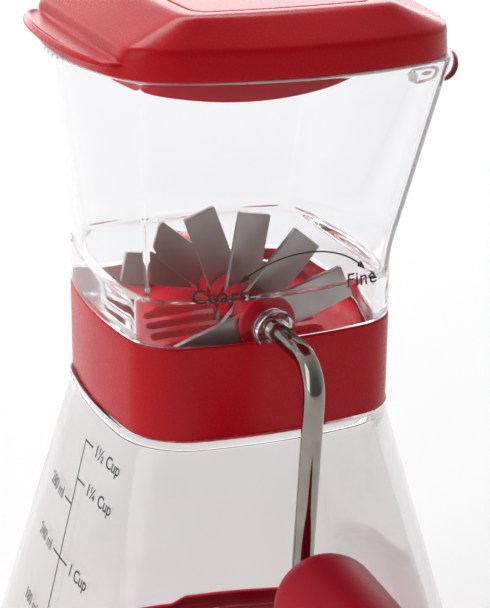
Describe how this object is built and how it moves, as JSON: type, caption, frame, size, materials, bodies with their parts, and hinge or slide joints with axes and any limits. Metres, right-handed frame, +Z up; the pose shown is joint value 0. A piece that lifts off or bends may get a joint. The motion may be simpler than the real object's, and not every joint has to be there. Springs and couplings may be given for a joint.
{
  "type": "rotary nut chopper",
  "caption": "Hand-cranked nut chopper: clear hopper with hinged red lid, flat steel blades on a crank, red collar, clear flared catch jar in a red non-slip boot.",
  "frame": {"origin": "centre of the boot's underside, on the surface it stands on", "axes": "+Z up along the jar's axis, -Y the way the crank comes out, +X towards the lid's hinge"},
  "size_m": [0.1096, 0.1438, 0.1678],
  "materials": {
    "clear_plastic": "gloss",
    "red_plastic": "satin gloss",
    "red_grip": "satin",
    "red_rubber": "matt",
    "seal_silicone": "matt",
    "polished_steel": "polished",
    "blade_steel": "brushed"
  },
  "bodies": {
    "jar": {"jar_shell": "clear_plastic", "nonslip_boot": "red_rubber"},
    "head": {"collar_band": "red_plastic", "jar_seal": "seal_silicone", "cutting_floor": "red_plastic", "floor_screw_1": "blade_steel", "floor_screw_2": "blade_steel", "floor_screw_3": "blade_steel", "floor_screw_4": "blade_steel", "hopper_shell": "clear_plastic", "front_bush": "clear_plastic", "rear_bush": "clear_plastic"},
    "lid": {"lid_shell": "red_plastic", "lid_plug": "red_plastic", "lid_hinge_pin": "blade_steel"},
    "crank": {"crank_rod": "polished_steel", "blade_1": "blade_steel", "blade_2": "blade_steel", "blade_3": "blade_steel", "blade_4": "blade_steel", "blade_5": "blade_steel", "blade_6": "blade_steel", "hub_spacer_1": "red_plastic", "hub_spacer_2": "red_plastic", "hub_spacer_3": "red_plastic", "hub_spacer_4": "red_plastic", "hub_spacer_5": "red_plastic", "hub_disc": "red_plastic", "hub_sleeve": "red_plastic", "retaining_clip": "blade_steel"},
    "grip": {"crank_grip": "red_grip", "grip_cap": "red_grip"}
  },
  "joints": [
    {"name": "head_lift", "type": "slide", "parent": "jar", "child": "head", "axis": [0, 0, 1], "range_m": [0, 0.06]},
    {"name": "lid_hinge", "type": "hinge", "parent": "head", "child": "lid", "pos_m": [0.0422, 0, 0.1509], "axis": [0, 1, 0], "range_deg": [0, 110]},
    {"name": "crank_turn", "type": "hinge", "parent": "head", "child": "crank", "pos_m": [-0.0013, 0, 0.1072], "axis": [0, -1, 0], "continuous": true},
    {"name": "grip_spin", "type": "hinge", "parent": "crank", "child": "grip", "pos_m": [-0.00338, -0.071, 0.06465], "axis": [0, -1, 0], "continuous": true}
  ]
}
